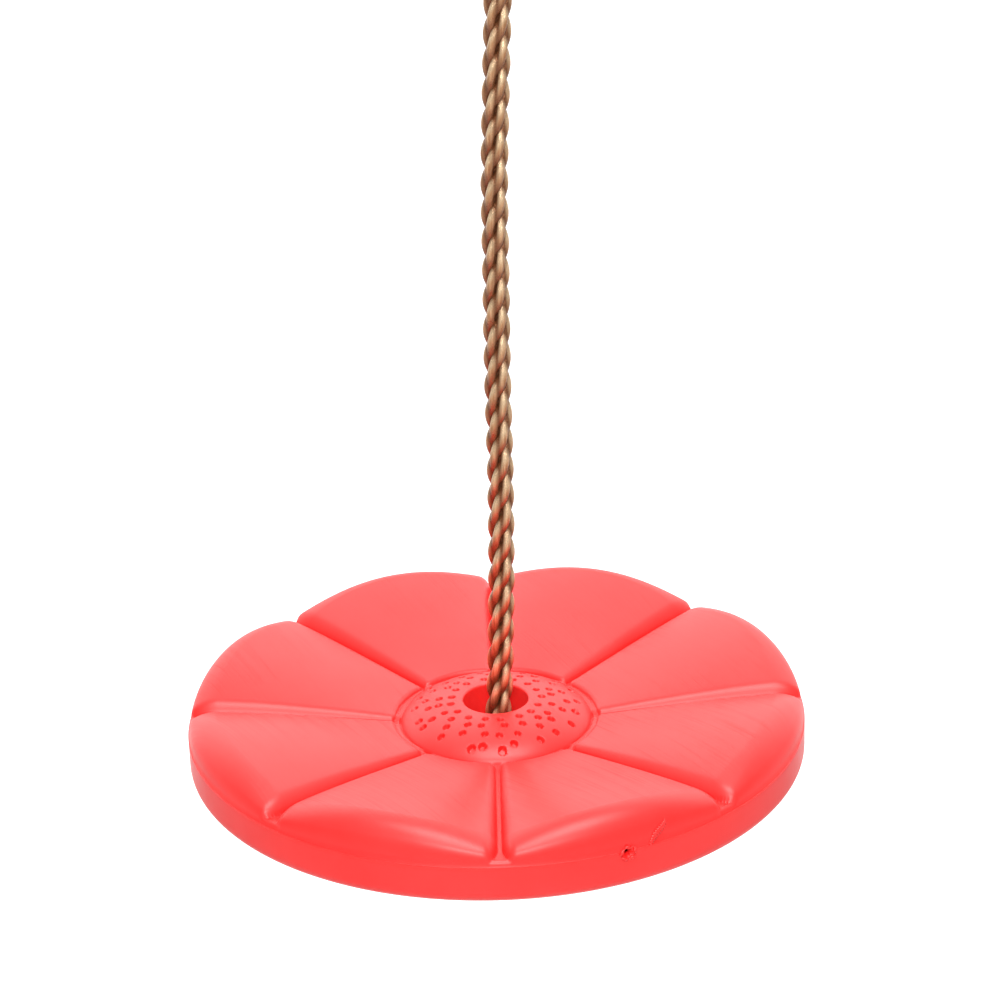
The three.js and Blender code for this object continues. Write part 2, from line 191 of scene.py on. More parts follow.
def rope_fibre():
    """Twisted polypropylene: silky fibres along the rope, with painted shade between the plies and on their
    undersides, and a painted highlight where they face up."""
    s = Shader("golden_polypropylene", Metallic=0.6, Coat_Weight=0.25, Coat_Roughness=0.28)
    along = s.attribute("fibre")
    depth = s.attribute("depth", "Fac")
    fine = s.noise(s.mapped(along, (2600, 2600, 60)), 1.0, 3, 0.6)
    broad = s.noise(s.mapped(along, (900, 900, 30)), 1.0, 2)
    tone = s.mix(s.fit(broad, 0.3, 0.7), (0.50, 0.22, 0.09, 1), (1.0, 0.61, 0.34, 1))
    upward = s.upward()
    # Painted shade: the fibres darken where they face down.
    tone = s.mix(s.fit(upward, -0.3, 0.02), s.mix(0.75, tone, (0.22, 0.05, 0.016, 1)), tone)
    # Painted highlight: the fibres turn pale gold where they face up.
    tone = s.mix(s.fit(upward, 0.0, 0.22, 0.0, 0.9), tone, (1.0, 0.75, 0.47, 1))
    tone = s.mix(s.fit(fine, 0.35, 0.72), s.mix(0.5, tone, (0.26, 0.12, 0.04, 1)), tone)
    # Painted shade: the deeper a point lies between the plies and strands, the darker it is.
    s.link(s.mix(s.fit(depth, 0.08, 0.5), tone, (0.19, 0.068, 0.024, 1)), "Base Color")
    s.link(s.fit(fine, 0.3, 0.75, 0.36, 0.22), "Roughness")
    s.link(s.bump(fine, 0.0003, 0.9, s.bump(broad, 0.0006, 0.6)), "Normal")
    return s.material


def melted_fibre():
    """The rope's end, melted into a hard bead."""
    s = Shader("melted_polypropylene", Roughness=0.25)
    where = s.position()
    tone = s.fit(s.noise(where, 300, 3), 0.3, 0.7)
    s.link(s.mix(tone, (0.09, 0.04, 0.016, 1), (0.22, 0.11, 0.045, 1)), "Base Color")
    s.link(s.bump(s.noise(where, 500, 3), 0.0004, 0.6), "Normal")
    return s.material


def zinc_steel():
    """Dull bright plating with a faint cloudy spangle."""
    s = Shader("zinc_plated_steel", Metallic=1.0, Roughness=0.28)
    where = s.position()
    spangle = s.noise(where, 220, 4, 0.6)
    s.link(s.mix(s.fit(spangle, 0.3, 0.7), (0.50, 0.51, 0.52, 1), (0.66, 0.665, 0.66, 1)), "Base Color")
    s.link(s.fit(s.noise(where, 420, 3), 0.3, 0.7, 0.2, 0.38), "Roughness")
    s.link(s.bump(s.noise(where, 1400, 3), 0.00003, 0.5), "Normal")
    return s.material


def spring_steel():
    """Plain drawn wire, darker than the plated pieces."""
    s = Shader("drawn_steel_wire", Metallic=1.0, Roughness=0.3)
    where = s.position()
    s.link(s.mix(s.noise(where, 500, 2), (0.34, 0.34, 0.35, 1), (0.48, 0.48, 0.48, 1)), "Base Color")
    s.link(s.bump(s.noise(where, 2500, 2), 0.00002, 0.5), "Normal")
    return s.material


def black_nylon():
    """Moulded nylon with a fine matt grain."""
    s = Shader("black_nylon", Roughness=0.5)
    where = s.position()
    s.link(s.mix(s.noise(where, 90, 3), (0.012, 0.012, 0.013, 1), (0.022, 0.022, 0.024, 1)), "Base Color")
    s.link(s.fit(s.noise(where, 300, 2), 0.3, 0.7, 0.42, 0.58), "Roughness")
    s.link(s.bump(s.noise(where, 2600, 2), 0.00006, 0.5), "Normal")
    return s.material


FINISHES = {
    "seat_plastic": seat_plastic(),
    "rope_fibre": rope_fibre(),
    "zinc_steel": zinc_steel(),
    "spring_steel": spring_steel(),
    "black_nylon": black_nylon(),
}
MELTED = melted_fibre()


# ---- Mesh helpers --------------------------------------------------------------------------------------

def between(a, b, t):
    """The value at t, from 0 to 1, on the way from a to b."""
    return a + (b - a) * t


def clamp01(x):
    return np.clip(x, 0, 1)


def grid_faces(rows, columns, rows_close=False, columns_close=True, first=0):
    """Quads of a grid of rows x columns points, either of which may close on itself."""
    i = np.arange(rows if rows_close else rows - 1)
    j = np.arange(columns if columns_close else columns - 1)
    i, j = (a.ravel() for a in np.meshgrid(i, j, indexing="ij"))
    below, after = (i + 1) % rows, (j + 1) % columns
    quads = np.stack([i * columns + j, i * columns + after, below * columns + after, below * columns + j], -1)
    return (quads + first).tolist()


def solid_mesh(name, points, faces):
    """A closed mesh with its faces turned outwards."""
    mesh = bpy.data.meshes.new(name)
    mesh.from_pydata(np.asarray(points).tolist(), [], faces)
    solid = bmesh.new()
    solid.from_mesh(mesh)
    if solid.calc_volume(signed=True) < 0:
        bmesh.ops.reverse_faces(solid, faces=solid.faces)
        solid.to_mesh(mesh)
    solid.free()
    return mesh


def make_piece(name, points, faces, body, slot, stands_for=(), sharp=None, material=None):
    """A smooth-shaded piece that rides on a body and takes a slot's finish."""
    mesh = solid_mesh(name, points, faces)
    mesh.materials.append(material or FINISHES[slot])
    mesh.shade_smooth()
    if sharp is not None:
        mesh.set_sharp_from_angle(angle=math.radians(sharp))
    piece = bpy.data.objects.new(name, mesh)
    bpy.context.scene.collection.objects.link(piece)
    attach(piece, body)
    if stands_for:
        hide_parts(*stands_for)
    return piece


def rounded(profile, radius, steps=4, closed=True):
    """A closed profile of (a, b) points with each corner turned into an arc-like curve."""
    points = [np.array(p, float) for p in profile]
    out = []
    for k, corner in enumerate(points):
        if not closed and k in (0, len(points) - 1):
            out.append(corner)
            continue
        before, after = points[k - 1], points[(k + 1) % len(points)]
        ends = []
        for other in (before, after):
            reach = min(radius, 0.45 * np.linalg.norm(other - corner))
            ends.append(corner + (other - corner) / np.linalg.norm(other - corner) * reach)
        for t in np.linspace(0, 1, steps + 1):
            out.append((1 - t) ** 2 * ends[0] + 2 * t * (1 - t) * corner + t * t * ends[1])
    return np.array(out)


def lathe(profile, segments, closed=True):
    """Points and faces of an (r, z) profile turned about +Z. A profile that isn't closed ends on the axis."""
    angles = np.arange(segments) * TAU / segments
    r, z = np.asarray(profile, float).T
    points = np.stack([
        np.outer(r, np.cos(angles)),
        np.outer(r, np.sin(angles)),
        np.outer(z, np.ones(segments)),
    ], -1).reshape(-1, 3)
    return points, grid_faces(len(r), segments, rows_close=closed)


def catmull(points, step):
    """A dense, evenly spaced line through the points, centripetal as in the CAD."""
    p = np.array(points, float)
    p = np.vstack([2 * p[0] - p[1], p, 2 * p[-1] - p[-2]])
    knots = np.concatenate([[0], np.cumsum(np.linalg.norm(np.diff(p, axis=0), axis=1) ** 0.5)])
    line = []
    for k in range(1, len(p) - 2):
        t0, t1, t2, t3 = knots[k - 1:k + 3]
        t = np.linspace(t1, t2, 24, endpoint=False)[:, None]
        a1 = (t1 - t) / (t1 - t0) * p[k - 1] + (t - t0) / (t1 - t0) * p[k]
        a2 = (t2 - t) / (t2 - t1) * p[k] + (t - t1) / (t2 - t1) * p[k + 1]
        a3 = (t3 - t) / (t3 - t2) * p[k + 1] + (t - t2) / (t3 - t2) * p[k + 2]
        b1 = (t2 - t) / (t2 - t0) * a1 + (t - t0) / (t2 - t0) * a2
        b2 = (t3 - t) / (t3 - t1) * a2 + (t - t1) / (t3 - t1) * a3
        line.append((t2 - t) / (t2 - t1) * b1 + (t - t1) / (t2 - t1) * b2)
    line.append(p[-2][None])
    return even(np.vstack(line), step)


def even(line, step=None, count=None):
    """The same line with evenly spaced points, about a step apart or count of them."""
    s = np.concatenate([[0], np.cumsum(np.linalg.norm(np.diff(line, axis=0), axis=1))])
    at = np.linspace(0, s[-1], count or max(2, round(s[-1] / step) + 1))
    return np.stack([np.interp(at, s, line[:, k]) for k in range(3)], -1)


def frames_along(line, normal):
    """Tangents, normals and binormals along a line, without twist, from the first point's normal."""
    tangents = np.gradient(line, axis=0)
    tangents /= np.linalg.norm(tangents, axis=1)[:, None]
    normals = np.zeros_like(line)
    n = np.array(normal, float)
    for k, t in enumerate(tangents):
        n = n - t * (n @ t)
        n /= np.linalg.norm(n)
        normals[k] = n
    return tangents, normals, np.cross(tangents, normals)


def sweep(line, normal, section, steps_around=24):
    """Points and faces of a tube with closed round ends; section(k, angle) gives its two offsets."""
    _, n, b = frames_along(line, normal)
    angles = np.arange(steps_around) * TAU / steps_around
    rings = []
    for k in range(len(line)):
        across, up = section(k, angles)
        rings.append(line[k] + np.outer(across, n[k]) + np.outer(up, b[k]))
    faces = grid_faces(len(line), steps_around)
    last = (len(line) - 1) * steps_around
    faces.append(list(range(steps_around))[::-1])
    faces.append(list(range(last, last + steps_around)))
    return np.vstack(rings), faces


def closed_sweep(line, radii, sides=10):
    """Points and faces of a round ring of wire along a closed line, with its own radius at each point."""
    tangents = np.roll(line, -1, axis=0) - np.roll(line, 1, axis=0)
    middle_point = line.mean(axis=0)
    rings = []
    for centre, t, radius in zip(line, tangents, radii):
        t = t / np.linalg.norm(t)
        n = centre - middle_point
        n -= t * (n @ t)
        n /= np.linalg.norm(n)
        a = np.arange(sides) * TAU / sides
        rings.append(centre + radius * (np.outer(np.cos(a), n) + np.outer(np.sin(a), np.cross(t, n))))
    return np.vstack(rings), grid_faces(len(line), sides, rows_close=True)


def cut(piece, cutters):
    """Cuts closed solids, each given as points and faces, out of a piece."""
    for points, faces in cutters:
        cutter = bpy.data.objects.new("cutter", solid_mesh("cutter", points, faces))
        bpy.context.scene.collection.objects.link(cutter)
        boolean = piece.modifiers.new("cut", "BOOLEAN")
        boolean.operation, boolean.solver, boolean.object = "DIFFERENCE", "EXACT", cutter
        bpy.context.view_layer.update()
        evaluated = piece.evaluated_get(bpy.context.evaluated_depsgraph_get())
        piece.data = bpy.data.meshes.new_from_object(evaluated)
        piece.modifiers.clear()
        bpy.data.objects.remove(cutter)
    piece.data.shade_smooth()


# ---- Rope ----------------------------------------------------------------------------------------------

ROPE_RADIUS = 6 * MM
ROPE_PHASE = 20  # degrees, of the first strand at the rope's lower end
LAY = 53 * MM  # one full turn of a strand
STRANDS, PLIES = 4, 2
PLY_TURNS = 3  # of a strand's plies, against the lay, in one turn of the strand
STRAND_RADIUS, CORE_RADIUS = 0.46 * ROPE_RADIUS, 0.45 * ROPE_RADIUS
SECTION = 42  # points round each strand
KNOT_SCALE = 0.94  # of the rope's radius, where a knot squeezes it
KNOT_SPACING = 0.88  # of the rope's diameter, between a knot's turns
KNOT_TAIL = 17 * MM  # of rope past a knot

# Route of the rope's centre line as (x, height above the seat's underside) in millimetres.
RISE = [
    (0, 6), (0.5, 15), (1.8, 32), (3.4, 62), (4.7, 98), (5.5, 140), (5.7, 187), (6.4, 234), (7.2, 279),
    (8.9, 316), (10.8, 353), (11.9, 380), (12.5, 404), (12.5, 412), (12.6, 420),
]
LEG_TOP = (17.4, 27)  # where each leg leaves the eye, from the adjuster's middle
EYE_RADIUS = 24 * MM


def rope_route():
    """Centre line from the stopper knot up to the adjuster, round the eye and back to the eye knot."""
    points = [(0, KNOT_TOP + 0.3 * MM)]
    points += [(x * MM, SEAT_Z + h * MM) for x, h in RISE]
    points.append((LEG_TOP[0] * MM, ADJUSTER_Z + LEG_TOP[1] * MM))
    for a in np.radians(np.linspace(-16, 196, 13)):
        points.append((EYE_RADIUS * math.cos(a), EYE_Z + EYE_RADIUS * math.sin(a)))
    points.append((-LEG_TOP[0] * MM, ADJUSTER_Z + LEG_TOP[1] * MM))
    points += [(EYE_KNOT_X - 0.1 * MM, ADJUSTER_Z + 8 * MM), (EYE_KNOT_X, ADJUSTER_Z)]
    points.append((EYE_KNOT_X, EYE_KNOT_TOP + 0.3 * MM))
    return catmull([(x, 0, z) for x, z in points], 1 * MM)


def ply_reach(angle):
    """Outline of a strand's pressed-together plies: its reach at an angle from the middle of one of them."""
    shift, size = 0.30, 0.72
    off = (angle + math.pi / PLIES) % (TAU / PLIES) - math.pi / PLIES
    return shift * np.cos(off) + np.sqrt(size ** 2 - (shift * np.sin(off)) ** 2)


def rope_mesh(line, normal, phase=0.0, scale=1.0):
    """A four-strand rope round a plain core, along a line. Each strand is two plies twisted against the
    rope's lay, a little unevenly and half a turn of them out of step with the next strand's."""
    tangents, n, b = frames_along(line, normal)
    s = np.concatenate([[0], np.cumsum(np.linalg.norm(np.diff(line, axis=0), axis=1))])
    radius = STRAND_RADIUS * scale
    helix = ROPE_RADIUS * scale - radius
    turn = phase + TAU * s / LAY
    around = np.arange(SECTION) * TAU / SECTION
    points, faces, fibre, depth = [], [], [], []

    def add_tube(rings, hollow):
        """Adds a tube; hollow says how far each of its points lies in the groove between plies."""
        first = sum(len(p) for p in points)
        offset = rings - line[:, None]
        across = np.einsum("kij,kj->ki", offset, n)
        up = np.einsum("kij,kj->ki", offset, b)
        sides = rings.shape[1]
        points.append(rings.reshape(-1, 3))
        fibre.append(np.stack([across, up, np.repeat(s[:, None], sides, 1)], -1).reshape(-1, 3))
        buried = 1 - np.hypot(across, up) / (ROPE_RADIUS * scale)
        depth.append(clamp01(hollow + buried).ravel())
        faces.extend(grid_faces(len(line), sides, first=first))
        last = first + (len(line) - 1) * sides
        faces.append(list(range(first, first + sides))[::-1])
        faces.append(list(range(last, last + sides)))

    for strand in range(STRANDS):
        angle = turn + strand * TAU / STRANDS
        out = np.cos(angle)[:, None] * n + np.sin(angle)[:, None] * b
        round_about = -np.sin(angle)[:, None] * n + np.cos(angle)[:, None] * b
        lean = tangents + helix * TAU / LAY * round_about
        lean /= np.linalg.norm(lean, axis=1)[:, None]
        side = np.cross(lean, out)
        wander = 0.2 * np.sin(s / (31 * MM) + 1.9 * strand) + 0.1 * np.sin(s / (11 * MM) + strand)
        ply = -PLY_TURNS * turn + math.pi / PLIES * strand + wander
        reach = ply_reach(around[None, :] - ply[:, None])
        u, v = radius * reach * np.cos(around), radius * reach * np.sin(around)
        rings = (line + helix * out)[:, None] + u[..., None] * out[:, None] + v[..., None] * side[:, None]
        add_tube(rings, 1.02 - reach)
    rings = line[:, None] + CORE_RADIUS * scale * (
        np.cos(around[::4])[None, :, None] * n[:, None] + np.sin(around[::4])[None, :, None] * b[:, None])
    add_tube(rings, np.ones(rings.shape[:2]))
    return np.vstack(points), faces, np.vstack(fibre), np.concatenate(depth), turn[-1]


def add_rope_attributes(piece, fibre, depth):
    """Stores what rope_fibre's material reads: places along the fibres, and how deep each point lies, which
    it paints as shade.
    """
    mesh = piece.data
    mesh.attributes.new("fibre", "FLOAT_VECTOR", "POINT").data.foreach_set("vector", fibre.ravel())
    mesh.attributes.new("depth", "FLOAT", "POINT").data.foreach_set("value", depth)


def overhand_knot(thickness, count=150, steps=3000):
    """Centre line of an overhand knot hauled tight along Z, from its top end to its bottom end.

    A slack trefoil, cut open at an outer lobe, is an elastic line between two fixed ends. It shortens while
    its turns stay a rope's thickness apart."""
    t = np.linspace(0.05, TAU - 0.05, 90)
    ring = 2 + np.cos(3 * t)
    lobe = 13.5 * MM * np.stack([ring * np.cos(2 * t), ring * np.sin(2 * t), np.sin(3 * t)], -1)
    rise, end = np.array([0, 0, 30]) * MM, np.array([0, 0, 45]) * MM
    chain = even(np.vstack([end, lobe[0] + rise, lobe, lobe[-1] - rise, -end]), count=count)
    for step in range(steps):
        if step % 25 == 0:
            link = np.linalg.norm(np.diff(chain, axis=0), axis=1).mean()
            i, j = np.triu_indices(count, math.ceil(1.5 * thickness / link))
        chain[1:-1] += 0.5 * (0.5 * (chain[:-2] + chain[2:]) - chain[1:-1])
        apart = chain[j] - chain[i]
        length = np.sqrt((apart ** 2).sum(1))
        near = (length < thickness) & (i > 0) & (j < count - 1)
        push = 0.25 * apart[near] * (thickness / length[near] - 1)[:, None]
        np.add.at(chain, i[near], -push)
        np.add.at(chain, j[near], push)
    return chain


def knot_line(thickness, tail):
    """The tight knot's line with its top at z = 0, its entry on the Z axis and the given tail below it."""
    chain = overhand_knot(thickness)
    for _ in range(4):
        chain[1:-1] = 0.25 * chain[:-2] + 0.5 * chain[1:-1] + 0.25 * chain[2:]
    turns = np.nonzero(np.hypot(chain[:, 0], chain[:, 1]) > 0.5 * thickness)[0]
    body = chain[turns[0]:turns[-1] + 1, 2]
    high, low = body.max() + thickness / 2, body.min() - thickness / 2
    kept = chain[(chain[:, 2] < high + 1 * MM) & (chain[:, 2] > low - tail)]
    return even(kept - np.array([kept[0, 0], kept[0, 1], high]), 1 * MM)


def end_bead(name, line):
    """The melted, slightly lobed end of the rope's tail."""
    direction = line[-1] - line[-3]
    direction /= np.linalg.norm(direction)
    reach = ROPE_RADIUS * KNOT_SCALE
    profile = [(reach * math.cos(a), reach * 0.45 * math.sin(a)) for a in np.linspace(-0.9, math.pi / 2, 14)]
    profile = [(0, profile[0][1])] + profile[:-1] + [(0, reach * 0.45)]
    points, faces = lathe(profile, 40, closed=False)
    lumps = 1 + 0.06 * np.sin(4 * np.arctan2(points[:, 1], points[:, 0]) + 0.7)
    points[:, :2] *= lumps[:, None]
    turn = Vector((0, 0, 1)).rotation_difference(Vector(direction)).to_matrix()
    points = points @ np.array(turn).T + line[-1]
    return make_piece(name, points, faces, "rope_line", "rope_fibre", material=MELTED)


def make_rope():
    """The rope along its route, a knot at each end of it, and the bead at the end of each knot's tail."""
    line = rope_route()
    phase = math.radians(ROPE_PHASE)
    points, faces, fibre, depth, turn = rope_mesh(line, (1, 0, 0), phase)
    rope = make_piece("twisted_rope", points, faces, "rope_line", "rope_fibre", ["rope"])
    add_rope_attributes(rope, fibre, depth)
    with_pieces = []
    shape = knot_line(2 * ROPE_RADIUS * KNOT_SPACING, KNOT_TAIL)
    places = (
        ("stopper_knot", "rope_tail_lower", Vector((0, 0, KNOT_TOP)), -20, -phase),
        ("eye_knot", "rope_tail_upper", Vector((EYE_KNOT_X, 0, EYE_KNOT_TOP)), 160, turn),
    )
    for node, tail, top, azimuth, entry in places:
        spin = np.array(Matrix.Rotation(math.radians(azimuth), 3, "Z"))
        knot = shape @ spin.T + np.array(top)
        points, faces, fibre, depth, _ = rope_mesh(knot, (-1, 0, 0), entry, KNOT_SCALE)
        piece = make_piece("knotted_" + node, points, faces, "rope_line", "rope_fibre", [node, tail])
        add_rope_attributes(piece, fibre, depth)
        with_pieces += [piece, end_bead("melted_" + tail, knot)]
    return rope, line, with_pieces


rope, rope_line, rope_pieces = make_rope()


# ---- Seat ----------------------------------------------------------------------------------------------
# Everything here is in millimetres from the middle of the seat's underside.

SEAT_RADIUS, SEAT_THICKNESS, SEAT_WALL = 140, 38, 2.4
PETALS = 8
PARTING_Z, UPPER_RADIUS = 21.2, 139.6
HOLE_RADIUS, HOLE_RIM_Z = 15.2, 30
DOME_RADIUS, MOAT_Z, HUB_RADIUS = 43.4, 19.8, 46
CREST_RADIUS, LEDGE_RADIUS = 127, 137.2
PETAL_INNER_Z = 21.8
VAULT_INNER, VAULT_OUTER = 0.5, 9.3
GROOVE_HALF, GROOVE_INNER_Z, GROOVE_OUTER_Z = 0.85, 18.7, 23.8
FOOT_RADIUS, FOOT_HEIGHT = 115, 9.5
NEEDLE_RADIUS, NEEDLE_AZIMUTH = 2.8, math.radians(-67.25)
NEEDLE_STEPS = [(0.36, -7), (0.36, -2.1), (1.1, 0.1), (1.1, 3)]  # the hole's taper: scale, and mm outwards
LIP_RADIUS, SCAR_RADIUS = 0.55, 0.95  # of the torn flash round the needle's hole and beside it


def dome_height(r):
    """Height of the dome, from its rim round the hole down to the moat."""
    s = clamp01((r - HOLE_RADIUS) / (DOME_RADIUS - HOLE_RADIUS))
    return HOLE_RIM_Z - (HOLE_RIM_Z - MOAT_Z) * (1 - (1 - s ** 2.2) ** 0.75)


def moat_height(t):
    """Height, at t from a groove's centre line, of the shallow moat round the dome."""
    return between(GROOVE_INNER_Z + 0.3, MOAT_Z + 0.4, clamp01((t - 1.2) / 2.5))


def petal_height(r, t, inset=0.0):
    """Height of the petals at radius r and at t from the nearest groove's centre line, or of the hollow's
    ceiling that far inside them."""
    along = clamp01((r - HUB_RADIUS) / (CREST_RADIUS - HUB_RADIUS))
    crown = between(PETAL_INNER_Z, SEAT_THICKNESS, 1.08 * along - 0.08 * along ** 4)
    off_centre = 1 - clamp01(np.arcsin(clamp01(t / r)) / (math.pi / PETALS))
    top = crown - between(VAULT_INNER, VAULT_OUTER, along) * off_centre ** 2 - inset
    ledge = UPPER_RADIUS - inset
    floor_slope = (r - HUB_RADIUS) / (LEDGE_RADIUS - HUB_RADIUS)
    groove = between(GROOVE_INNER_Z, GROOVE_OUTER_Z, floor_slope) - inset
    roll = clamp01((r - LEDGE_RADIUS + inset) / (UPPER_RADIUS - LEDGE_RADIUS))
    floor = between(PARTING_Z, groove, np.sqrt(1 - roll * roll))
    if r < HUB_RADIUS + 5:
        floor = np.maximum(floor, moat_height(t) - inset - (r - HUB_RADIUS) / 5)
    side = 1 - clamp01((t - GROOVE_HALF - inset) / between(3.5, 6, along))
    end = 1 - clamp01((ledge - r) / (UPPER_RADIUS - CREST_RADIUS))
    start = 1 - clamp01((r - HUB_RADIUS - inset) / 2)
    edge = clamp01(np.sqrt(side ** 2 + end ** 2 + start ** 2))
    return between(floor, np.maximum(top, floor), np.sqrt(1 - edge * edge))


GROOVE_OFFSETS = [0, 0.45, 0.85, 1.2, 1.6, 2.1, 2.7, 3.4, 4.2, 5.1, 6.1, 7.3]
EVEN_COLUMNS = 28


def seat_columns(r):
    """Azimuth of each column of the seat's grid at r, and its azimuth from the nearest groove."""
    reach = max(r, HUB_RADIUS)
    near = np.arcsin(np.array(GROOVE_OFFSETS) / reach)
    half = math.pi / PETALS
    far = between(near[-1], half, np.arange(1, EVEN_COLUMNS + 1) / EVEN_COLUMNS)
    offsets = np.concatenate([near, far])
    petal = np.concatenate([offsets, 2 * half - offsets[-2:0:-1]])
    starts = -math.pi / 2 + np.arange(PETALS)[:, None] * 2 * half
    azimuth = (starts + petal[None]).ravel()
    from_groove = np.tile(np.minimum(petal, 2 * half - petal), PETALS)
    return azimuth, from_groove


def dimple_places():
    """Centre radius, azimuth, size and depth of each dimple in the dome."""
    random = np.random.default_rng(7)
    places = []
    rings = ((20.8, 17, 0.1), (26.4, 20, 0.38), (31.8, 21, 0.0), (37.1, 21, 0.4))
    front = math.radians(-90)
    for ring, (radius, count, phase) in enumerate(rings):
        for k in range(count):
            azimuth = TAU * (k + phase) / count + random.normal(0, 0.035)
            r = radius + random.normal(0, 0.6)
            from_front = abs((azimuth - front + math.pi) % TAU - math.pi)
            if ring == 3 and from_front < math.radians(26):
                continue
            places.append((r, azimuth, random.uniform(1.7, 1.95), random.uniform(2.2, 2.5)))
    for r, degrees, size in ((39.0, -107, 2.15), (37.6, -100, 2.05), (39.4, -86.5, 2.2), (36.9, -78, 1.95)):
        places.append((r, math.radians(degrees), size, 2.7))
    return places


DIMPLES = dimple_places()
DIMPLE_WALL = 0.32  # of a dimple's radius, over which it drops to its flat floor


def dimple_depth(r, azimuth):
    """How far the dimples press the dome in at each azimuth of a row."""
    x, y = r * np.cos(azimuth), r * np.sin(azimuth)
    depth = np.zeros_like(x)
    for centre, at, size, deep in DIMPLES:
        cx, cy = centre * math.cos(at), centre * math.sin(at)
        outward = (x - cx) * math.cos(at) + (y - cy) * math.sin(at)
        sideways = (y - cy) * math.cos(at) - (x - cx) * math.sin(at)
        d = np.hypot(outward, sideways * 1.06) / size
        wall = clamp01((1 - d) / DIMPLE_WALL)
        depth = np.maximum(depth, deep * wall * wall * (3 - 2 * wall))
    return depth


def lower_edge(inset=0.0, steps=26):
    """The rounded lower edge, from the side to the underside, or the hollow's, that far inside it."""
    a = np.linspace(0, math.pi / 2, steps)
    r = FOOT_RADIUS + (SEAT_RADIUS - FOOT_RADIUS - inset) * np.cos(a) ** 0.8
    z = FOOT_HEIGHT - (FOOT_HEIGHT - inset) * np.sin(a) ** 0.8
    return np.stack([r, z], -1)


class SeatSurface:
    """Rows of a closed surface round the seat's axis: each row's radii, azimuths and heights."""

    def __init__(self, every=1):
        self.every = every
        self.rows = []

    def add(self, r, height):
        """A row at radius r; height is a number or a function of r and the distance from a groove."""
        azimuth, off = (a[::self.every] for a in seat_columns(r))
        z = height(r, r * np.sin(off)) if callable(height) else np.full_like(azimuth, height)
        self.rows.append((np.full_like(azimuth, r), azimuth, z))

    def add_dome(self, r):
        """A row of the dome, pressed in along the surface's normal at each dimple."""
        azimuth, _ = seat_columns(r)
        slope = (dome_height(r + 0.05) - dome_height(r - 0.05)) / 0.1
        lean = math.hypot(1, slope)
        deep = dimple_depth(r, azimuth)
        self.rows.append((r + deep * slope / lean, azimuth, dome_height(r) - deep / lean))

    def mesh(self, first=0, outward=True):
        """Points and faces; the faces of a hollow are turned inwards."""
        r, azimuth, z = (np.array([row[k] for row in self.rows]) for k in range(3))
        points = np.stack([r * np.cos(azimuth), r * np.sin(azimuth), z], -1)
        faces = grid_faces(*points.shape[:2], rows_close=True, first=first)
        if outward:
            faces = [f[::-1] for f in faces]
        return points.reshape(-1, 3), faces


def seat_outside():
    """The outer surface, from the washer's pocket up the hole, over the top and back along the underside."""
    surface = SeatSurface()
    throat = [(22.5, 0), (22.5, 3.5), (10, 3.5), (10, 11), (14.0, 15.5), (14.8, 29.8), (16.2, 30.05)]
    for r, z in rounded(throat, 0.9, 5, closed=False)[:-1]:
        surface.add(r, z)
    for r in np.linspace(15.7, DOME_RADIUS, 110):
        surface.add_dome(r)
    for r, lift in ((43.8, -0.35), (44.3, 0.1), (44.65, 0.3), (45.0, 0.2), (45.5, -0.1)):
        surface.add(r, lambda r, t: moat_height(t) + lift)
    petal_rows = (
        np.linspace(46, 48.2, 10), np.linspace(49.2, 124, 56), np.linspace(124.6, 137.2, 26),
        np.linspace(137.5, UPPER_RADIUS, 12),
    )
    for r in np.concatenate(petal_rows):
        surface.add(r, petal_height)
    flash = [(139.64, 21.16), (139.8, 21.14), (139.98, 21.1), (140.02, 21.0), (139.97, 20.88), (140, 20.7)]
    underside = [(108, 0.1), (102, 0.7), (100, 1.3), (97, 1.6), (80, 1.6), (60, 1.6), (40, 1.6), (37, 1.5)]
    boss = [(36, 1.0), (35, 0.3), (34, 0), (30, 0), (26, 0)]
    for r, z in flash + [(140, 19), (140, 16), (140, 13)] + list(lower_edge()) + underside + boss:
        surface.add(r, z)
    return surface


def seat_inside():
    """The hollow that blowing leaves, a wall's thickness inside the outer surface."""
    wall = SEAT_WALL
    surface = SeatSurface(every=4)
    surface.add(22.5 + wall, 3.5 + wall)
    surface.add(HOLE_RADIUS + wall, 13)
    surface.add(HOLE_RADIUS + wall, HOLE_RIM_Z - 2.2 * wall)
    for r in (24, 30, 36, 40):
        surface.add(r, dome_height(r) - 1.5 * wall)
    surface.add(44, GROOVE_INNER_Z - 1.1 * wall)
    for r in np.concatenate([[50, 54], np.linspace(66, 124, 14), [128, 131, 134]]):
        surface.add(r, lambda r, t: petal_height(r, t, wall))
    surface.add(UPPER_RADIUS - wall - 0.3, PARTING_Z - wall)
    surface.add(SEAT_RADIUS - wall, FOOT_HEIGHT)
    for r, z in lower_edge(wall, 9)[1:]:
        surface.add(r, z)
    surface.add(100, 1.6 + wall)
    surface.add(37, 1.6 + wall)
    return surface


def ragged_ring(count, size, seed):
    """Radii of a torn round edge."""
    a = np.arange(count) * TAU / count
    random = np.random.default_rng(seed)
    wobble = sum(random.normal(0, 0.05) * np.sin(k * a + random.uniform(0, TAU)) for k in range(2, 9))
    return a, size * (1 + wobble)


def needle_frame():
    """The blow needle's hole: its middle on the seat's side, and the outward, sideways and up directions."""
    outward = np.array([math.cos(NEEDLE_AZIMUTH), math.sin(NEEDLE_AZIMUTH), 0])
    sideways = np.array([-outward[1], outward[0], 0])
    centre = outward * SEAT_RADIUS + np.array([0, 0, PARTING_Z - 1.2])
    return centre, outward, sideways, np.array([0, 0, 1.0])


def needle_cutter():
    """A ragged tapered plug of the needle hole's shape."""
    centre, outward, sideways, up = needle_frame()
    a, size = ragged_ring(28, NEEDLE_RADIUS, 3)
    ring = np.outer(size * np.cos(a), sideways) + np.outer(size * np.sin(a), up)
    rings = [centre + scale * ring + reach * outward for scale, reach in NEEDLE_STEPS]
    last = len(rings) * len(a)
    faces = grid_faces(len(rings), len(a)) + [list(range(len(a)))[::-1], list(range(last - len(a), last))]
    return np.vstack(rings), faces


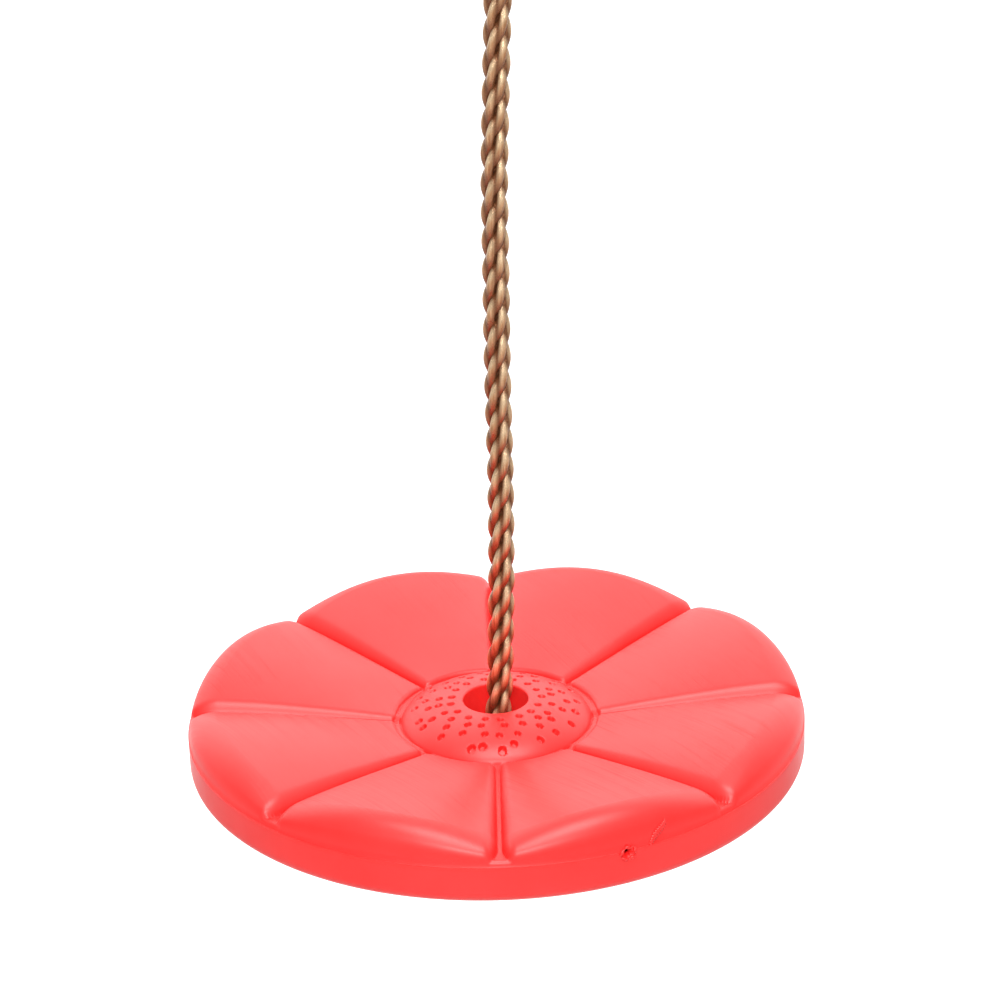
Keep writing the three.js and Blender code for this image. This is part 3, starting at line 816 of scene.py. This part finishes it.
def in_place(points):
    """Seat millimetres to metres in the frame."""
    return np.asarray(points) * MM + np.array([0, 0, SEAT_Z])


def make_seat():
    """The seat: its outer surface and its hollow in one mesh, with the blow needle's hole cut through."""
    points, faces = seat_outside().mesh()
    hollow_points, hollow_faces = seat_inside().mesh(first=len(points), outward=False)
    seat = make_piece(
        "flower_seat", in_place(np.vstack([points, hollow_points])), faces + hollow_faces,
        "seat", "seat_plastic", ["seat_disc"],
    )
    hole_points, hole_faces = needle_cutter()
    cut(seat, [(in_place(hole_points), hole_faces)])
    seat.data.set_sharp_from_angle(angle=math.radians(50))
    make_flash()


def make_flash():
    """Torn plastic left on the seat's side: a lip round the needle's hole and a curved scar beside it."""
    centre, outward, sideways, up = needle_frame()
    a, size = ragged_ring(64, 1.12 * NEEDLE_RADIUS, 3)
    thick = LIP_RADIUS * MM * (1 + 0.5 * np.sin(5 * a))
    lip = centre + np.outer(size * np.cos(a), sideways) + np.outer(size * np.sin(a), up)
    lift = 0.12 * np.sin(3 * a + 1) + 0.1 * np.sin(7 * a)
    lip += np.outer(0.05 + lift, outward)
    points, faces = closed_sweep(in_place(lip), thick)
    make_piece("needle_hole_lip", points, faces, "seat", "seat_plastic")
    path = [(138.0, -59.3), (138.7, -60.0), (139.15, -61.0), (139.4, -61.9), (139.58, -62.6), (139.75, -63.0)]
    scar = []
    for r, degrees in path:
        azimuth = math.radians(degrees)
        off = abs((azimuth - math.pi / 8) % (math.pi / 4) - math.pi / 8)
        z = float(petal_height(r, r * math.sin(off))) if r < UPPER_RADIUS else PARTING_Z
        scar.append((r * math.cos(azimuth), r * math.sin(azimuth), z))
    line = catmull(in_place(scar), 0.3 * MM)
    thick = SCAR_RADIUS * MM * np.sin(np.linspace(0.15, math.pi - 0.15, len(line))) ** 0.6
    thick *= 1 + 0.3 * np.sin(1.7 * np.arange(len(line)))
    points, faces = sweep(line, outward, lambda k, a: (thick[k] * np.cos(a), 1.6 * thick[k] * np.sin(a)), 10)
    make_piece("flash_scar", points, faces, "seat", "seat_plastic")


make_seat()


# ---- Hardware ------------------------------------------------------------------------------------------
# In millimetres from the hanging point, which is the inside of the hook's top bend.

def heights(node):
    """A node's lowest and highest z, in millimetres."""
    return [corner.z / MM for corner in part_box(node)]


HOOK_LOW_Z, HOOK_HIGH_Z = heights("hook_body")
HOOK_BEND, HOOK_WIRE = 13, 4  # the bends' centre line radius and the wire's radius
TOP_BEND_Z = HOOK_HIGH_Z - HOOK_BEND - HOOK_WIRE
LOW_BEND_Z = HOOK_LOW_Z + HOOK_BEND + HOOK_WIRE
TONGUE_RADIUS, TONGUE_HALF = 3.0, 1.5
TONGUE_LENGTH, TONGUE_SWELL = 6.7, 1.6  # of the flat part, and of its change to round wire
PIVOT_Z = middle("gate_rivet").z / MM
GATE_LOW_Z, GATE_TOP_Z = heights("hook_gate")
GATE_RADIUS = 3.6
SLOT_HALF = 1.8
RIVET_BORE, SPRING_BORE = 1.25, 2.0


def arc(centre, radius, start, end, count):
    """Points of an arc in a plane, from one angle in degrees to another."""
    a = np.radians(np.linspace(start, end, count))
    return [(centre[0] + radius * math.cos(t), centre[1] + radius * math.sin(t)) for t in a]


def turned(profile, segments, axis="Z", at=(0, 0, 0), closed=False):
    """A lathed solid in metres, its axis along Z or Y through a point given in millimetres."""
    points, faces = lathe(profile, segments, closed)
    if axis == "Y":
        points = points[:, [0, 2, 1]] * np.array([1, 1, -1])
    return (points + np.array(at)) * MM, faces


def block(low, high):
    """Points and faces of a box between two corners in millimetres, as metres."""
    x, y, z = zip(low, high)
    points = np.array([(a, b, c) for a in x for b in y for c in z]) * MM
    return points, [(0, 1, 3, 2), (4, 6, 7, 5), (0, 4, 5, 1), (2, 3, 7, 6), (0, 2, 6, 4), (1, 5, 7, 3)]


def rod(radius, low, high):
    """A cylinder's profile for turned."""
    return [(0, low), (radius, low), (radius, high), (0, high)]


def tongue_section(from_tip, angles):
    """The hook wire's section at a distance from its tip: a flat tongue that swells into round wire."""
    swell = clamp01((from_tip - TONGUE_LENGTH) / TONGUE_SWELL)
    swell = swell * swell * (3 - 2 * swell)
    nose = math.sqrt(max(0.0, 1 - (1 - clamp01(from_tip / TONGUE_RADIUS)) ** 2))
    wide = between(TONGUE_RADIUS, HOOK_WIRE, swell) * max(nose, 0.02)
    thick = between(TONGUE_HALF, HOOK_WIRE, swell) * min(1.0, 0.55 + nose)
    power = between(0.35, 1.0, swell)
    across, up = np.cos(angles), np.sin(angles)
    across = np.sign(across) * np.abs(across) ** between(0.6, 1.0, swell)
    return wide * across, thick * np.sign(up) * np.abs(up) ** power


def make_hook():
    """The hook, bent from one wire whose two ends are flattened to tongues, and the gate's rivet."""
    path = [(HOOK_BEND, PIVOT_Z - TONGUE_RADIUS), (HOOK_BEND, TOP_BEND_Z)]
    path += arc((0, TOP_BEND_Z), HOOK_BEND, 4, 180, 45)
    path += arc((0, LOW_BEND_Z), HOOK_BEND, 180, 360, 46)
    path.append((HOOK_BEND, GATE_LOW_Z + 5))
    line = even(np.array([(x, 0, z) for x, z in path], float), 0.35)
    s = np.arange(len(line)) * np.linalg.norm(line[1] - line[0])
    points, faces = sweep(
        line, (1, 0, 0), lambda k, angles: tongue_section(min(s[k], s[-1] - s[k]), angles), 32)
    hook = make_piece("bent_hook", points * MM, faces, "hook", "zinc_steel", ["hook_body"])
    cut(hook, [turned(rod(1.5, -8, 8), 32, "Y", (HOOK_BEND, 0, PIVOT_Z))])
    hook.data.set_sharp_from_angle(angle=math.radians(45))
    half = GATE_RADIUS + 0.05
    head = [(0, 0.75), (0.7, 0.68), (1.3, 0.42), (1.65, 0.08), (1.6, 0), (1.15, 0)]
    profile = [(r, -half - y) for r, y in head] + [(r, half + y) for r, y in head[::-1]]
    points, faces = turned(profile, 28, "Y", (HOOK_BEND, 0, PIVOT_Z))
    make_piece("peened_rivet", points, faces, "hook", "zinc_steel", ["gate_rivet"], sharp=50)


def make_gate():
    """The gate, slotted over both tongues, and the spring and plunger in its bore."""
    bar = rounded(rod(GATE_RADIUS, GATE_LOW_Z, GATE_TOP_Z), 0.8, 5, closed=False)
    points, faces = turned(bar, 48, at=(HOOK_BEND, 0, 0))
    gate = make_piece("slotted_gate", points, faces, "gate", "zinc_steel", ["hook_gate"])
    top_slot, low_slot = PIVOT_Z - GATE_RADIUS - 0.2, GATE_LOW_Z + 5.6
    spring_low, spring_high = heights("gate_spring")
    cut(gate, [
        block((HOOK_BEND - 9, -SLOT_HALF, top_slot), (HOOK_BEND + 9, SLOT_HALF, GATE_TOP_Z + 3)),
        block((HOOK_BEND - 9, -SLOT_HALF, GATE_LOW_Z - 3), (HOOK_BEND + 9, SLOT_HALF, low_slot)),
        turned(rod(SPRING_BORE, spring_low - 0.3, PIVOT_Z), 32, at=(HOOK_BEND, 0, 0)),
        turned(rod(RIVET_BORE, -8, 8), 32, "Y", (HOOK_BEND, 0, PIVOT_Z)),
    ])
    gate.data.set_sharp_from_angle(angle=math.radians(40))
    wire, turns, radius = 0.35, 5, SPRING_BORE - 0.65
    a = np.linspace(0, turns * TAU, turns * 28 + 1)
    flat = 0.35 * TAU  # the end turns are closed up
    climb = np.interp(a, (0, flat, a[-1] - flat, a[-1]), (0, 0.02, 0.98, 1))
    low, high = spring_low + wire, spring_high - wire
    coil = np.stack([HOOK_BEND + radius * np.cos(a), radius * np.sin(a), low + (high - low) * climb], -1)
    points, faces = sweep(coil, (1, 0, 0), lambda k, t: (wire * np.cos(t), wire * np.sin(t)), 12)
    make_piece("coiled_spring", points * MM, faces, "gate", "spring_steel", ["gate_spring"], sharp=60)
    low, high = heights("gate_plunger")
    cap = [(0, low), (1.5, low), (1.7, low + 0.2), (1.7, low + 1.8)]
    cap += [(1.5, low + 2.1), (0.8, high - 0.15), (0, high)]
    points, faces = turned(cap, 28, at=(HOOK_BEND, 0, 0))
    make_piece("turned_plunger", points, faces, "gate", "zinc_steel", ["gate_plunger"], sharp=50)


def make_ring():
    """The ring, thickened at its weld."""
    radius, wire = 22, 3
    a = np.arange(180) * TAU / 180
    line = np.stack([np.zeros(180), radius * np.cos(a), RING_Z / MM + radius * np.sin(a)], -1)
    off_weld = np.abs((a - 0.25 + math.pi) % TAU - math.pi)
    radii = wire * (1 + 0.1 * np.exp(-(off_weld / 0.07) ** 2) + 0.02 * np.exp(-(off_weld / 0.2) ** 2))
    points, faces = closed_sweep(line, radii, 28)
    make_piece("welded_ring", points * MM, faces, "ring", "zinc_steel", ["hanging_ring"])


def make_thimble():
    """The channel that the rope's eye lies in, with rolled lips."""
    centre, inner, outer = (EYE_RADIUS / MM, 0), 6.4, 8.2
    lip, mid = (outer - inner) / 2, (outer + inner) / 2
    ends = [(centre[0] + mid * math.cos(a), mid * math.sin(a)) for a in np.radians((110, 250))]
    profile = arc(centre, outer, 250, 110, 25)
    profile += arc(ends[0], lip, 110, -70, 8)[1:-1]
    profile += arc(centre, inner, 110, 250, 25)
    profile += arc(ends[1], lip, 70, -110, 8)[1:-1]
    points, faces = turned(profile, 112, "Y", (0, 0, EYE_Z / MM), closed=True)
    make_piece("rolled_thimble", points, faces, "rope_line", "zinc_steel", ["thimble"])


def make_adjuster():
    """A rounded plate with two flared holes for the rope."""
    half_length, half_width, thickness, leg = 25, 12, 8, 12.5
    middle_z = ADJUSTER_Z / MM
    edge = [(2.2, -4.0), (1.4, -3.92), (0.7, -3.6), (0.25, -3.0), (0.04, -2.2), (0, -1.2)]
    rows = edge + [(inset, -z) for inset, z in edge[::-1]]
    points, count = [], 96
    for inset, z in rows:
        reach, run = half_width - inset, half_length - half_width
        right = arc((run, 0), reach, -90, 90, count // 2)
        left = arc((-run, 0), reach, 90, 270, count // 2)
        points += [(x, y, middle_z + z * thickness / 8) for x, y in right + left]
    faces = grid_faces(len(rows), count)
    faces += [list(range(count))[::-1], list(range(len(points) - count, len(points)))]
    plate = make_piece(
        "moulded_adjuster", np.array(points) * MM, faces, "rope_line", "black_nylon", ["rope_adjuster"])
    flare = [(0, -5), (8.1, -5), (7.7, -4), (7.1, -3.5), (6.75, -2.8), (6.6, -1.8)]
    flare += [(r, -z) for r, z in flare[::-1]]
    cut(plate, [turned(flare, 64, at=(side * leg, 0, middle_z)) for side in (-1, 1)])
    plate.data.set_sharp_from_angle(angle=math.radians(40))


def make_washer():
    """The washer that keeps the stopper knot from pulling through the seat's hole."""
    profile = rounded([(7, 0), (22, 0), (22, 3), (7, 3)], 0.7, 5)
    points, faces = turned(profile, 112, at=(0, 0, WASHER_Z / MM), closed=True)
    make_piece("pressed_washer", points, faces, "washer", "zinc_steel", ["knot_washer"])


make_hook()
make_gate()
make_ring()
make_thimble()
make_adjuster()
make_washer()


# ---- Stage ---------------------------------------------------------------------------------------------

def add_light(name, place, target, size, power):
    """A white softbox at a place, turned to a target."""
    data = bpy.data.lights.new(name, "AREA")
    data.shape, data.size, data.size_y = "RECTANGLE", *size
    data.energy = power
    light = bpy.data.objects.new(name, data)
    bpy.context.scene.collection.objects.link(light)
    light.location = place
    light.rotation_euler = (Vector(target) - Vector(place)).to_track_quat("-Z", "Y").to_euler()


FLOOR_HALF, FLOOR_DROP = 9.0, 0.45  # metres: half its side, and its depth below the seat


def make_floor():
    """A pale floor with a painted glow behind the object, which also lights it, and clear from below."""
    half, z = FLOOR_HALF, SEAT_Z - FLOOR_DROP
    mesh = bpy.data.meshes.new("floor")
    corners = [(-half, -half, z), (half, -half, z), (half, half, z), (-half, half, z)]
    mesh.from_pydata(corners, [], [(0, 1, 2, 3)])
    floor = bpy.data.objects.new("floor", mesh)
    bpy.context.scene.collection.objects.link(floor)
    s = Shader("pale_floor", Roughness=0.8)
    s.link(s.mix(s.noise(s.position(), 2, 2), (0.54, 0.54, 0.54, 1), (0.58, 0.58, 0.58, 1)), "Base Color")
    s.surface.inputs["Emission Color"].default_value = (1, 1, 1, 1)
    place = s.node("ShaderNodeSeparateXYZ", {0: s.position()}).outputs
    behind = s.math("SUBTRACT", place[1], s.math("ABSOLUTE", place[0]))
    # Painted light: the floor glows behind the object and not in front of it.
    s.link(s.fit(behind, -0.1, 0.35, 0.0, 0.85), "Emission Strength")
    clear = s.node("ShaderNodeBsdfTransparent").outputs[0]
    from_below = s.node("ShaderNodeNewGeometry").outputs["Backfacing"]
    both = s.node("ShaderNodeMixShader", {0: from_below, 1: s.surface.outputs[0], 2: clear})
    s.tree.links.new(both.outputs[0], s.tree.nodes["Material Output"].inputs["Surface"])
    mesh.materials.append(s.material)


def make_world():
    """Pale surroundings: brightest low down behind the object, dimmer overhead and in front."""
    world = bpy.data.worlds.new("studio")
    bpy.context.scene.world = world
    world.use_nodes = True
    tree = world.node_tree
    background = tree.nodes["Background"]
    background.inputs["Color"].default_value = (1, 1, 1, 1)
    direction = tree.nodes.new("ShaderNodeTexCoord").outputs["Generated"]
    split = tree.nodes.new("ShaderNodeSeparateXYZ")
    tree.links.new(direction, split.inputs[0])

    def ramp(value, low, high, to_low, to_high):
        made = tree.nodes.new("ShaderNodeMapRange")
        tree.links.new(value, made.inputs["Value"])
        limits = {"From Min": low, "From Max": high, "To Min": to_low, "To Max": to_high}
        for socket, number in limits.items():
            made.inputs[socket].default_value = number
        made.interpolation_type = "SMOOTHSTEP"
        return made.outputs["Result"]

    def combine(operation, a, b):
        made = tree.nodes.new("ShaderNodeMath")
        made.operation = operation
        tree.links.new(a, made.inputs[0])
        tree.links.new(b, made.inputs[1])
        return made.outputs[0]

    behind = ramp(split.outputs["Y"], 0.0, 0.75, 0.35, 2.15)
    before = ramp(split.outputs["Y"], -0.8, -0.3, 0.5, 0.0)
    upward = ramp(split.outputs["Z"], 0.1, 0.6, 0.62, 1.0)
    strength = combine("MULTIPLY", combine("ADD", behind, before), upward)
    tree.links.new(strength, background.inputs["Strength"])


make_floor()
make_world()
add_light("overhead", (0.1, -0.55, 1.25), (0, 0, SEAT_Z), (1.3, 0.9), 33)
add_light("front", (-0.1, -2.0, 0.8), (0, 0, 0.6 * SEAT_Z), (0.8, 0.5), 27)
bpy.context.scene.view_settings.view_transform = "Standard"
